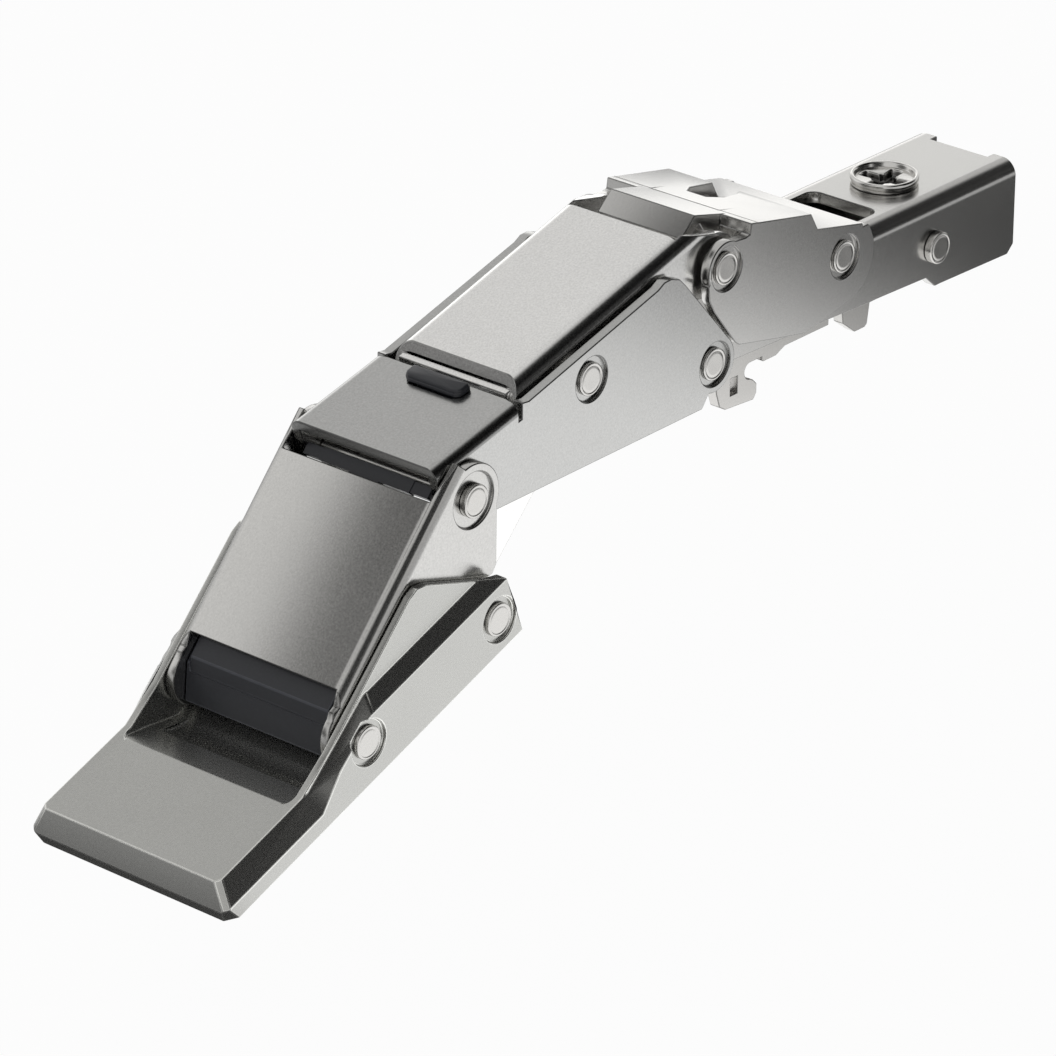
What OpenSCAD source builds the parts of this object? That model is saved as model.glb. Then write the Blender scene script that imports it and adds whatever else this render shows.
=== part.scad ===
// Concealed glass door hinge with seven pivots, glue-on door boss and clip-on arm.
// Drawn fully open. X runs from the arm towards the door, Y across, Z away from the side panel.
// The origin is the seat of the front clip hooks, on the middle plane.

/* [Linkage] */
// X of the lower arm pin, from the clip seat
lower_pin_x = 11.5; // [10.5:0.1:12.5]
// Z of the lower arm pin
lower_pin_z = 5.8; // [5.4:0.1:6.4]
// X of the upper arm pin
upper_pin_x = -10.8; // [-11.8:0.1:-10.2]
// Z of the upper arm pin
upper_pin_z = 11.2; // [10.8:0.1:11.6]
// Run of the two rear links along X
rear_link_x = 20.5; // [20:0.1:21]
// Rise of the two rear links
rear_link_z = 5.1; // [4.8:0.1:5.4]
// Run of the two front links along X
front_link_x = 20.2; // [19.8:0.1:20.6]
// Fall of the two front links
front_link_z = 6.4; // [6.1:0.1:6.7]
// X from the scissor pin to the rear boss pin
scissor_drop_x = 18.9; // [18.5:0.1:19.3]
// Fall from the scissor pin to the rear boss pin
scissor_drop_z = 19.7; // [19.3:0.1:20.1]
// Opening angle
open_angle = 110; // [100:1:110]

/* [Sheet layers] */
// Outer width of the arm
arm_w = 14.5; // [14.2:0.1:14.8]
// Sheet of the arm
arm_t = 1.4; // [1.2:0.1:1.6]
// Sheet of the mounting frame
frame_t = 1.35; // [1.2:0.05:1.5]
// Sheet of the inner lever
inner_t = 1.0; // [0.8:0.1:1.2]
// Washer between the inner lever and the outer one
washer_t = 0.5; // [0.4:0.05:0.7]
// Sheet of the control link and the outer lever
link_t = 1.2; // [1:0.1:1.3]
// Sheet of the front lever
front_t = 1.15; // [0.9:0.05:1.2]
// Running gap between the arm, its frame and the inner lever
layer_gap = 0.1; // [0.08:0.01:0.15]
// Running gap on both sides of the front lever
side_gap = 0.15; // [0.1:0.01:0.25]

/* [Pins] */
// Radius of the pin shanks
pin_r = 1.25; // [1.1:0.05:1.3]
// Radius of the riveted heads
head_r = 1.85; // [1.7:0.05:1.95]
// Radius of the pressed recess round each head
recess_r = 2.55; // [2.4:0.05:2.7]
// Depth of the recess
recess_d = 0.45; // [0.3:0.05:0.5]
// Radial clearance where a lever turns on a pin
run_gap = 0.05; // [0.02:0.01:0.08]
// Radial clearance where a pin is held
hold_gap = 0.01; // [0.01:0.01:0.02]

/* [Arm] */
// X of the arm's rear end
arm_rear_x = -45.9; // [-47:0.1:-45]
// Z of the arm's top face
arm_top_z = 11.15; // [11:0.05:11.3]
// Length of the slot in the arm's top
arm_slot_l = 6.5; // [6:0.1:7]
// Width of that slot
arm_slot_w = 9.4; // [9:0.1:9.8]
// X of the rear arm pin and of the depth screw above it
rear_pin_x = -30.8; // [-31.2:0.1:-30.4]
// Z of the rear arm pin
rear_pin_z = 5.4; // [5:0.1:5.8]
// Radius of the depth screw's rim
screw_r = 3.9; // [3.7:0.1:4]
// Travel of the depth setting, to each side
depth_travel = 1.5; // [1:0.1:2]

/* [Clip] */
// Radius of the hook's seat
seat_r = 0.95; // [0.85:0.05:1]
// X of the clip lever's pin
clip_pin_x = -40.2; // [-40.6:0.1:-39.8]
// Z of the clip lever's pin
clip_pin_z = 4.4; // [4.2:0.1:4.6]

/* [Door boss] */
// Length of the glue face
boss_l = 47.4; // [46.8:0.1:48.4]
// Width of the rails beside the ears
rail_w = 1.4; // [1.2:0.1:1.8]
// Slope of the glue face below the arm, with the door open
boss_tilt = 20.3; // [19:0.1:21]
// Height of the front plate
boss_plate_h = 4.35; // [4.2:0.05:4.5]
// Thickness of the floor
boss_floor_t = 0.9; // [0.7:0.1:1]
// Height of the ears' peak above the glue face
boss_ear_h = 14.2; // [13.5:0.1:15]
// Distance of the rear boss pin from the boss's rear end
boss_pin_u = 2.6; // [2.5:0.1:3]
// Height of the rear boss pin above the glue face
boss_pin_v = 3.6; // [3.4:0.1:3.8]
// Wall of the ears
ear_t = 0.9; // [0.8:0.05:1]

/* [Soft close] */
// Width of the switch
switch_w = 7.8; // [7:0.1:8.5]
// Radius of the damper cylinder
damper_r = 2.1; // [1.8:0.1:2.2]
// Stroke of the damper
damper_stroke = 2; // [1.5:0.1:2]

/* [Hidden] */
$fn = 64;
eps = 0.02;
big = 60;

// Pivots as [x, z]: the two rear links are equal and parallel, and so are the two front ones.
lower_pin = [lower_pin_x, lower_pin_z];
upper_pin = [upper_pin_x, upper_pin_z];
rear_link = [rear_link_x, rear_link_z];
front_link = [front_link_x, -front_link_z];
link_pin_at = upper_pin + rear_link;
scissor = lower_pin + rear_link;
knuckle = scissor + front_link;
rear_boss = scissor + [scissor_drop_x, -scissor_drop_z];
front_boss = rear_boss + front_link;
rear_pin = [rear_pin_x, rear_pin_z];
clip_pin = [clip_pin_x, clip_pin_z];

// Half widths of the nested layers, from the middle outwards.
arm_h = arm_w / 2;
arm_in = arm_h - arm_t;
frame_h = arm_in - layer_gap;
frame_in = frame_h - frame_t;
inner_h = arm_h + layer_gap + inner_t;
inner_in = inner_h - inner_t;
link_in = inner_h + washer_t;
link_h = link_in + link_t;
front_in = link_h + side_gap;
front_h = front_in + front_t;
trough_h = front_h + side_gap;
ear_h = trough_h + ear_t;
boss_h = ear_h + rail_w;
metal = [0.74, 0.74, 0.72];
dark = [0.19, 0.2, 0.22];

// A slab between two values of Y, cut to the outline given as children in X and Z.
module slab(y0, y1) {
    translate([0, y1, 0]) rotate([90, 0, 0]) linear_extrude(y1 - y0) children();
}

// The same slab on both sides of the middle plane.
module both(y0, y1) {
    slab(y0, y1) children();
    slab(-y1, -y0) children();
}

// A round bar or hole across the part at a pivot.
module across(at, r, half) {
    translate([at.x, 0, at.y]) rotate([90, 0, 0]) cylinder(r = r, h = 2 * half, center = true);
}

// A round disc at a pivot in the X and Z outline plane.
module disc(at, r) {
    translate(at) circle(r);
}

// A rectangle with round corners, centred on the origin.
module round_plate(l, w, r) {
    square([l - 2 * r, w], center = true);
    square([l, w - 2 * r], center = true);
    for (x = [-1, 1]) for (y = [-1, 1])
        translate([x * (l / 2 - r), y * (w / 2 - r)]) circle(r);
}

// Section of a folded sheet, open downwards, with round outer corners.
module dome(h, r, depth) {
    translate([-h, -depth]) square([2 * h, depth - r]);
    translate([-h + r, -depth]) square([2 * (h - r), depth]);
    for (s = [-1, 1]) translate([s * (h - r), -r]) circle(r);
}

// A folded channel along X with its top face through the point at, sloping by tilt.
module channel(at, tilt, l0, l1, h, t, r, depth) {
    translate([at.x, 0, at.y]) rotate([0, tilt, 0]) translate([l0, 0, 0])
        rotate([90, 0, 90]) linear_extrude(l1 - l0) difference() {
            dome(h, r, depth);
            translate([0, -t]) dome(h - t, max(r - t, 0.3), depth);
        }
}

// A pressed recess for a pin head, in both outer faces.
module head_recess(at, half) {
    for (s = [-1, 1]) translate([at.x, s * half, at.y]) rotate([90, 0, 0])
        cylinder(r = recess_r, h = 2 * recess_d, center = true);
}

// A riveted pin with flush heads that stand in the recesses.
module riveted_pin(at, half) {
    across(at, pin_r, half);
    for (s = [-1, 1]) translate([at.x, s * (half - recess_d / 2 + 0.03), at.y]) rotate([90, 0, 0])
        cylinder(r = head_r, h = recess_d - 0.04, center = true);
}

// Bush or washer rings on both sides.
module ring_pair(at, r, y0, y1, bore) {
    for (s = [-1, 1]) translate([at.x, s * (y0 + y1) / 2, at.y]) rotate([90, 0, 0]) difference() {
        cylinder(r = r, h = y1 - y0, center = true);
        cylinder(r = bore, h = y1 - y0 + 1, center = true);
    }
}

// ---- arm
arm_front_r = 3;
link_tail_r = 4.55;
arm_top_end = upper_pin_x - 6.4;

module arm_outline() {
    difference() {
        union() {
            polygon([[arm_rear_x, arm_top_z], [arm_rear_x, 1], [arm_rear_x + 1.1, 0],
                [rear_pin_x - 1.5, 0.4], [rear_pin_x - 0.4, 0.4], [rear_pin_x + 1.3, 1.9],
                [lower_pin_x - 6, 3.3], [lower_pin_x, lower_pin_z - arm_front_r],
                [lower_pin_x, lower_pin_z + arm_front_r],
                [upper_pin_x + 9, upper_pin_z - 1.5],
                [upper_pin_x + 2, upper_pin_z + 1.6], [upper_pin_x, arm_top_z]]);
            disc(lower_pin, arm_front_r);
            disc(upper_pin, 2.3);
        }
        // room for the control link's tail, which swings down behind the upper pin
        translate(upper_pin) difference() {
            intersection() {
                circle(link_tail_r + 0.4);
                polygon([[0, 0], [-1.2, 8], [-9, 8], [-9, -6], [-1, -8]]);
            }
            circle(2.3);
        }
    }
}

module arm() {
    color(metal) difference() {
        intersection() {
            channel([0, arm_top_z], 0, arm_rear_x, lower_pin_x + 6, arm_h, arm_t, 1.9, 20);
            slab(-arm_h, arm_h) arm_outline();
        }
        // the top stops short of the upper pin and has a slot behind
        translate([arm_top_end, -arm_in, arm_top_z - 6]) cube([big, 2 * arm_in, 16]);
        translate([arm_top_end - arm_slot_l / 2 + 1, 0, arm_top_z - 3]) linear_extrude(6)
            round_plate(arm_slot_l + 2, arm_slot_w, 1.3);
        // shallow notch in the rear edge
        translate([arm_rear_x - 1, -4, arm_top_z - 3]) cube([2.2, 8, 6]);
        translate([rear_pin_x, 0, arm_top_z - 3]) cylinder(r = screw_r - 0.7 + run_gap, h = 6);
        across(upper_pin, pin_r + run_gap, arm_h + 1);
        across(lower_pin, pin_r + run_gap, arm_h + 1);
        across(rear_pin, pin_r + hold_gap, arm_h + 1);
    }
}

module rear_arm_pin() {
    color(metal) {
        across(rear_pin, pin_r, arm_h + 0.3);
        for (s = [-1, 1]) translate([rear_pin.x, s * (arm_h + 0.5), rear_pin.y])
            rotate([90, 0, 0]) cylinder(r = head_r, h = 0.9, center = true);
    }
}

// Depth screw: a rimmed disc with a cross recess above the arm and a cam below its top.
screw_top = arm_top_z + 1.15;
module depth_screw() {
    color(metal) difference() {
        translate([rear_pin_x, 0, 0]) {
            translate([0, 0, arm_top_z + 0.05]) cylinder(r = screw_r, h = screw_top - arm_top_z - 0.05);
            translate([0, 0, arm_top_z - arm_t - 0.6]) cylinder(r = screw_r - 0.7, h = arm_t + 0.7);
            translate([1, 0, arm_top_z - arm_t - 1.7]) cylinder(r = 1.2, h = 1.5);
        }
        translate([rear_pin_x, 0, screw_top - 0.5]) cylinder(r = screw_r - 0.65, h = 2);
        for (a = [45, 135]) translate([rear_pin_x, 0, screw_top - 1]) rotate(a)
            cube([5.6, 1.3, 2.2], center = true);
        translate([rear_pin_x, 0, screw_top - 1.6]) cylinder(r = 1.3, h = 3);
    }
}

// A close-wound coil: its turns touch, so they are one ribbed sleeve round the axis.
module coil(r, wire, turns) {
    pitch = 2 * wire - eps;
    rotate_extrude() for (i = [0 : turns - 1])
        translate([r, (i - (turns - 1) / 2) * pitch]) circle(wire, $fn = 16);
}

// Closing spring: two coils on the upper arm pin, legs below the arm's top at the rear
// and one long loop between the coils, which bears below the control link.
wire_r = 0.34;
coil_r = pin_r + run_gap + wire_r;
coil_turns = 6;
coil_y = 3;
rear_leg_y = coil_y + (coil_turns - 1) * (wire_r - eps / 2);
loop_y = coil_y - (coil_turns - 1) * (wire_r - eps / 2);
rear_leg_a = atan2(1.9, 6.4);
loop_a = atan2(6.8, 14.2);
loop_l = 15.6;

module closing_spring() {
    color(metal) translate([upper_pin.x, 0, upper_pin.y]) rotate([90, 0, 0]) {
        for (s = [-1, 1]) {
            translate([0, 0, s * coil_y]) coil(coil_r, wire_r, coil_turns);
            rotate(180 + rear_leg_a) translate([coil_r, 0, s * rear_leg_y]) rotate([0, 90, 0])
                cylinder(r = wire_r - eps, h = 7.2);
            rotate(loop_a) translate([coil_r, 0, s * loop_y]) rotate([0, 90, 0])
                cylinder(r = wire_r - eps, h = loop_l - coil_r + wire_r);
        }
        rotate(loop_a) translate([loop_l, 0, 0])
            cylinder(r = wire_r - 3 * eps, h = 2 * (loop_y + wire_r), center = true);
    }
}

// ---- mounting frame with the clip hooks
frame_top_z = arm_top_z - arm_t - 0.7;
frame_rear_x = arm_rear_x + depth_travel + 0.8;
frame_step_x = arm_top_end - 4.8;

module frame_outline() {
    difference() {
        union() {
            polygon([[frame_rear_x, frame_top_z], [frame_rear_x, 1.3], [-21.2, 1.2], [-20.8, -1.2],
                [-20.4, -1.5], [-18.6, -1.5], [-16.4, 0.2], [-16.2, 1.6], [-13.8, 1.6], [-13.8, 0.9],
                [-6.1, 0.95], [-4.5, 0.3], [-2.3, 0.3], [-1.4, seat_r], [3.2, seat_r],
                [6, 1.6], [5.6, 5.2], [frame_step_x, 5.8], [frame_step_x, frame_top_z]]);
            // hook below the seat
            polygon([[0, seat_r + 1], [0, -seat_r], [-0.6, -1.3], [-1.2, -1.9], [-1.2, -3], [-0.7, -3.7],
                [4.2, -3.3], [5.2, -2.7], [5.8, -0.9], [6, seat_r + 1]]);
        }
        disc([0, 0], seat_r);
        translate([-2, -seat_r]) square([2, 2 * seat_r]);
        translate([2.2, -1.9]) square([1.2, 2]);
    }
}

module mounting_frame() {
    color(metal) difference() {
        intersection() {
            channel([0, frame_top_z], 0, frame_rear_x, 8, frame_h, frame_t, 1.6, 20);
            slab(-frame_h, frame_h) frame_outline();
        }
        // long guides for the rear arm pin, and room for the screw's cam
        for (d = [-1, 1]) across(rear_pin + [d * depth_travel, 0], pin_r + run_gap, 9);
        translate([rear_pin.x, 0, rear_pin.y])
            cube([2 * depth_travel, 18, 2 * (pin_r + run_gap)], center = true);
        translate([rear_pin_x, 0, frame_top_z - 2])
            cube([2 * (2.4 + depth_travel), 2 * 2.4, 8], center = true);
        across(clip_pin, 0.8 + hold_gap, 9);
        // the web ends ahead of the rear, over the clip lever
        translate([frame_rear_x - 1, -frame_in, frame_top_z - 3]) cube([6.6, 2 * frame_in, 6]);
    }
}

module clip_lever_pin() {
    color(metal) across(clip_pin, 0.8, frame_h - 0.05);
}

// Clip lever: a pressed latch between the frame's sides, with a nose below and a thumb end.
clip_h = frame_in - 0.25;
module clip_lever() {
    color(metal) difference() {
        union() {
            both(clip_h - 1.2, clip_h) union() {
                disc(clip_pin, 1.9);
                polygon([[clip_pin.x - 1.6, clip_pin.y + 1], [arm_rear_x - 0.3, clip_pin.y + 1.4],
                    [arm_rear_x - 0.3, clip_pin.y - 1.4], [clip_pin.x - 1, clip_pin.y - 1.8]]);
                polygon([[clip_pin.x - 1.6, clip_pin.y], [clip_pin.x - 1.2, 0.9],
                    [clip_pin.x + 0.4, -0.9], [clip_pin.x + 2.8, -0.7], [clip_pin.x + 1.7, 0.7],
                    [clip_pin.x + 1.7, clip_pin.y]]);
            }
            slab(-clip_h, clip_h) polygon([[arm_rear_x - 0.5, clip_pin.y + 1.6],
                [arm_rear_x - 0.5, clip_pin.y - 1.6], [arm_rear_x + 0.7, clip_pin.y - 1.6],
                [arm_rear_x + 0.7, clip_pin.y + 1.6]]);
        }
        across(clip_pin, 0.8 + run_gap, 9);
    }
}

// Clip spring: a small coil on the lever's pin with a leg on the frame.
module clip_spring() {
    color(metal) translate([clip_pin.x, 0, clip_pin.y]) rotate([90, 0, 0]) {
        coil(1.15, 0.3, 5);
        translate([1.15, 0, 0]) rotate([0, 90, 0]) cylinder(r = 0.28, h = 5);
    }
}

// ---- control link
crown = [10.1, 21.4];
crown_lip = [12.4, 19.4];
shoulder = [5.7, 20.25];
step_top = [-4.7, 18.1];
step_low = [-5.9, 16];
link_tail = [-13.9, 14.2];
tongue_h = 5.8;
rim_drop = 2.3;

module link_side_outline() {
    difference() {
        union() {
            polygon([shoulder, step_top, step_low, link_tail, upper_pin + [-3, -3],
                upper_pin + [-1, -5.5], [-8, 4.9], [-4, 4.3], [0.9, 5.3], [7.4, 6.7], [8.1, 7.2],
                [11.7, 11.8], [12.6, 13.4], link_pin_at + [3.1, -1.2], link_pin_at + [-1, 2.8],
                [6.6, 18.9], [5.7, 19.1]]);
            disc(link_pin_at, 3.1);
            translate(upper_pin + [-0.2, -0.6]) intersection() {
                circle(5.05);
                translate([-8, -8]) square([10, 11.2]);
            }
        }
        // straight cut where the tail's top face ends
        translate(link_tail + [-6, 0.1]) square([6, 6]);
    }
}

module link_web_outline() {
    t = link_t;
    polygon([shoulder, step_top, step_low, link_tail, link_tail + [0.2, -t], step_low + [0.5, -t],
        step_top + [0.9, -t], shoulder + [0.2, -t]]);
}

module link_tongue_outline() {
    t = link_t;
    polygon([crown, shoulder + [-1, -0.2], shoulder + [-0.8, -t - 0.2], crown + [-0.6, -t],
        crown_lip + [-1, -0.8], crown_lip]);
}

module control_link() {
    color(metal) difference() {
        union() {
            both(link_in, link_h) link_side_outline();
            slab(-link_h, link_h) link_web_outline();
            slab(-tongue_h, tongue_h) link_tongue_outline();
            // turned-down rims beside the tongue and along the shoulder
            both(tongue_h - 1, tongue_h) polygon([crown, shoulder + [-1, -0.2],
                shoulder + [-1, -rim_drop], crown + [-1.6, -rim_drop]]);
            both(tongue_h - 1, link_h) polygon([shoulder, shoulder + [-1.1, -0.2],
                shoulder + [-1.1, -rim_drop], shoulder + [0, -rim_drop]]);
        }
        // opening in the web
        translate([0, 0, 10]) linear_extrude(20) polygon([[1.3, -2.4], [1.3, 0.2], [-0.6, 1.05],
            [-3.4, 0.6], [-6.6, -1], [-7.9, -2.2], [-7.4, -3.4], [-5.6, -3.8], [-0.4, -3.4]]);
        for (p = [upper_pin, link_pin_at]) {
            across(p, pin_r + hold_gap, link_h + 1);
            head_recess(p, link_h);
        }
    }
}

module upper_arm_pin() {
    color(metal) riveted_pin(upper_pin, link_h);
}

module link_pin() {
    color(metal) riveted_pin(link_pin_at, link_h);
}

module upper_bushes() {
    color(metal) ring_pair(upper_pin, 2.2, arm_h + 0.05, link_in, pin_r + hold_gap);
}

// ---- inner lever
inner_front = [41.4, 13.6];
inner_rear = [15.4, 20.95];
inner_r = 1.9;
inner_tilt = atan2(inner_rear.y - inner_front.y, inner_front.x - inner_rear.x);
inner_ear_r = 3.6;
step_drop = 1.15;
tongue_l = 1.7;

module inner_outline() {
    // the lower pin passes close behind the long leg when the door is shut
    difference() {
        union() {
            polygon([link_pin_at + [-1, 3.4], link_pin_at + [-1, -3.4], link_pin_at + [4, -3.2],
                scissor + [-1, -5.4], scissor + [4.5, -8.2], rear_boss + [-2, -1.2],
                rear_boss + [2.2, 1], [43, 8.4], [42.4, 11], inner_front,
                inner_rear + [-0.3, 0.1]]);
            disc(link_pin_at, inner_ear_r);
            disc(rear_boss, 2.4);
        }
        for (p = [link_pin_at, scissor, rear_boss]) disc(p, pin_r + run_gap);
    }
}

module inner_lever() {
    color(metal) difference() {
        union() {
            intersection() {
                channel(inner_rear, inner_tilt, -12, 60, inner_h, inner_t, inner_r, 60);
                slab(-inner_h, inner_h) inner_outline();
            }
            // the web's front edge steps down to a short tongue
            translate([inner_front.x, 0, inner_front.y]) rotate([0, inner_tilt, 0])
                slab(-inner_in - 0.1, inner_in + 0.1) polygon([[-1, -inner_t / 2], [0, -inner_t / 2],
                    [0.1, -step_drop], [tongue_l, -step_drop], [tongue_l, -step_drop - inner_t],
                    [-1, -step_drop - inner_t]]);
        }
        // the web stops at its rear edge
        translate([inner_rear.x, 0, inner_rear.y]) rotate([0, inner_tilt, 0])
            translate([-20, -inner_in, -4]) cube([20, 2 * inner_in, 8]);
    }
}

// ---- outer lever
outer_front = [56.7, 8.9];
outer_rear = [43.6, 12];
outer_tilt = atan2(outer_rear.y - outer_front.y, outer_front.x - outer_rear.x);
outer_end_r = 3.3;

module outer_outline() {
    union() {
        polygon([lower_pin + [-2.7, 1.9], [lower_pin.x + 2, knuckle.y - outer_end_r],
            knuckle + [0, -outer_end_r], knuckle + [outer_end_r, 0], outer_front + [-0.3, -1.2],
            outer_front, outer_rear, outer_rear + [-1.6, -0.2], [21.2, 17.5], [20.2, 18.05],
            [19, 18.1], [17.6, 17.6], [16.6, 16.6]]);
        disc(lower_pin, outer_end_r);
        disc(knuckle, outer_end_r);
    }
}

// Cutter that rounds the long edge of a folded sheet, from the point at along its slope.
module edge_round(at, tilt, length, half, r) {
    for (s = [0, 1]) mirror([0, s, 0]) translate([at.x, half - r, at.y]) rotate([0, tilt, 0])
        translate([0, 0, -r]) rotate([90, 0, 90]) linear_extrude(length) difference() {
            square([r + 1, r + 1]);
            circle(r);
        }
}

module outer_lever() {
    along = [cos(outer_tilt), -sin(outer_tilt)];
    under = outer_rear - link_t * [sin(outer_tilt), cos(outer_tilt)];
    color(metal) difference() {
        slab(-link_h, link_h) outer_outline();
        // open below the web and behind it
        slab(-link_in, link_in) polygon([[0, 40], [0, -20], [70, -20], under + 30 * along,
            under, outer_rear + [0, 1], [outer_rear.x, 40]]);
        edge_round(outer_rear, outer_tilt, 16, link_h, 1.4);
        // relief slits where the bends begin
        both(link_in - 0.5, link_h + 1) polygon([outer_rear + [-0.5, -1.9],
            outer_rear + [0, -2], outer_rear + [0, 2], outer_rear + [-0.5, 2]]);
        across(knuckle, pin_r + run_gap, link_h + 1);
        for (p = [lower_pin, scissor]) {
            across(p, pin_r + hold_gap, link_h + 1);
            head_recess(p, link_h);
        }
        // seat of the switch in the web's rear edge
        translate([outer_rear.x, 0, outer_rear.y]) rotate([0, outer_tilt, 0])
            translate([-1, -switch_w / 2 + 0.9, -3]) cube([3.6, switch_w - 1.8, 5]);
    }
}

module lower_arm_pin() {
    color(metal) riveted_pin(lower_pin, link_h);
}

module scissor_pin() {
    color(metal) riveted_pin(scissor, link_h);
}

module lower_bushes() {
    color(metal) ring_pair(lower_pin, 1.9, inner_h + 0.05, link_in, pin_r + hold_gap);
}

module lever_washers() {
    color(metal) ring_pair(scissor, 2.6, inner_h + 0.05, link_in, pin_r + hold_gap);
}

// Switch: a small dark slider over the web's rear edge, with a stem through it.
module switch_slider() {
    color(dark) translate([outer_rear.x, 0, outer_rear.y]) rotate([0, outer_tilt, 0]) {
        translate([0.35, -switch_w / 2, 0.05]) cube([2.1, switch_w, 0.85]);
        translate([0.6, -switch_w / 2 + 1.1, -link_t - 0.05]) cube([1.2, switch_w - 2.2, link_t + 0.2]);
        translate([0.2, -switch_w / 2 - 0.4, -link_t - 0.95]) cube([2.6, switch_w + 0.8, 0.9]);
    }
}

// ---- front lever
web_front = [72.05, -10];
web_rear = [57.7, 5.9];
front_tilt = atan2(web_rear.y - web_front.y, web_front.x - web_rear.x);
lever_end_r = 3.5;
front_web_l = norm(web_front - web_rear);

module front_outline() {
    difference() {
        union() {
            polygon([web_rear, knuckle + [2, 4.6], [48.5, 3.5], [48.6, -4], [49.2, -4.9],
                [50.2, -5.1], [58.5, -3.2], [62.6, -5.2], front_boss + [-3.2, -1.4],
                front_boss + [2.5, 2.45], front_boss + [2.2, 3.15], front_boss + [1.45, 3.6],
                front_boss + [1.3, 4.1], web_front]);
            disc(front_boss, lever_end_r);
            disc(knuckle, 4);
        }
        disc(front_boss, pin_r + run_gap);
        disc(knuckle, pin_r + hold_gap);
    }
}

module front_lever() {
    color(metal) difference() {
        intersection() {
            channel(web_rear, front_tilt, -front_web_l, 2 * front_web_l, front_h, front_t, 1.5,
                3 * front_web_l);
            slab(-front_h, front_h) front_outline();
        }
        // the web stops at its rear edge and at the damper housing
        translate([web_rear.x, 0, web_rear.y]) rotate([0, front_tilt, 0]) {
            translate([-20, -front_in, -6]) cube([20, 2 * front_in, 12]);
            translate([front_web_l, -front_in, -6]) cube([20, 2 * front_in, 12]);
        }
        for (s = [-1, 1]) translate([knuckle.x, s * front_h, knuckle.y]) rotate([90, 0, 0])
            cylinder(r = 3.1, h = 2 * 0.35, center = true);
    }
}

module knuckle_pin() {
    color(metal) {
        across(knuckle, pin_r, front_h);
        for (s = [-1, 1]) translate([knuckle.x, s * (front_h + 0.05), knuckle.y]) rotate([90, 0, 0])
            cylinder(r = head_r, h = 0.75, center = true);
    }
}

// The front lever's own axes: e runs along its web from the front boss pin, n away from it.
module in_front_lever() {
    translate([front_boss.x, 0, front_boss.y]) rotate([0, front_tilt, 0]) mirror([1, 0, 0]) children();
}

web_n = (web_front - front_boss) * [sin(front_tilt), cos(front_tilt)];
under_web = web_n - front_t;
housing_h = front_in - 0.1;

module damper_housing() {
    n1 = under_web - 0.05;
    color(dark) in_front_lever() difference() {
        union() {
            slab(-housing_h, housing_h) polygon([[0.4, n1 - 0.5], [-3.1, -0.1], [-3, -0.9],
                [-2.2, -2.1], [0, -2.9], [5, -2.9], [6.6, -1], [6.6, n1 - 0.5]]);
            slab(-housing_h + 0.5, housing_h - 0.5) polygon([[1, n1], [-0.3, n1 - 1],
                [6.6, n1 - 1], [6.6, n1]]);
        }
        across([0, 0], pin_r + run_gap, 20);
        translate([3.4, 0, 0.2]) rotate([0, 90, 0]) cylinder(r = damper_r + 0.03, h = 6);
    }
}

module damper_cylinder() {
    color(dark) in_front_lever() difference() {
        translate([3.5, 0, 0.2]) rotate([0, 90, 0]) cylinder(r = damper_r, h = 15.5);
        translate([5, 0, 0.2]) rotate([0, 90, 0]) cylinder(r = 1.05, h = 20);
    }
}

module damper_slide() {
    bar_e = 26.2;
    neck_e = bar_e - 4.7;
    neck_t = 1.3;
    color(dark) in_front_lever() {
        translate([10, 0, 0.2]) rotate([0, 90, 0]) cylinder(r = 1, h = 12.4);
        slab(-2, 2) polygon([[neck_e, -0.8], [neck_e + neck_t, -0.8],
            [neck_e + neck_t, under_web - 1.25], [bar_e, under_web - 1.25],
            [bar_e, under_web - 0.25], [neck_e, under_web - 0.25]]);
        slab(-6.2, 6.2) polygon([[bar_e - 1.2, under_web - 1.25], [bar_e + 0.3, under_web - 1.25],
            [bar_e + 0.3, under_web - 0.25], [bar_e - 1.2, under_web - 0.25]]);
    }
}

// ---- door boss, drawn in its own axes: u along the glue face from the rear, v away from it
module in_boss() {
    translate([rear_boss.x, 0, rear_boss.y]) rotate([0, boss_tilt, 0])
        translate([-boss_pin_u, 0, -boss_pin_v]) children();
}

// The front pin's place from the rear one, in the same axes
boss_swing = boss_tilt - atan2(front_link_z, front_link_x);
boss_link = norm(front_link) * [cos(boss_swing), sin(boss_swing)];
band_v = 1.9;
rail_v = 7.3;
rim_u = 33;
pocket_u = 30.9;
trough_u = 34.85;
front_lean = 1.15;
nose = 0.25;
nose_v = 1.6;
corner_d = 0.42;

module boss_ear_outline() {
    polygon([[0, 0], [rim_u + 4, 0], [rim_u + 4, boss_plate_h], [rim_u, boss_plate_h],
        [27.9, 6.2], [21.7, 9.2], [12, boss_ear_h - 0.3], [10.6, boss_ear_h], [9.2, boss_ear_h - 0.6],
        [3.2, 9], [0, rail_v - 0.6]]);
}

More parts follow.
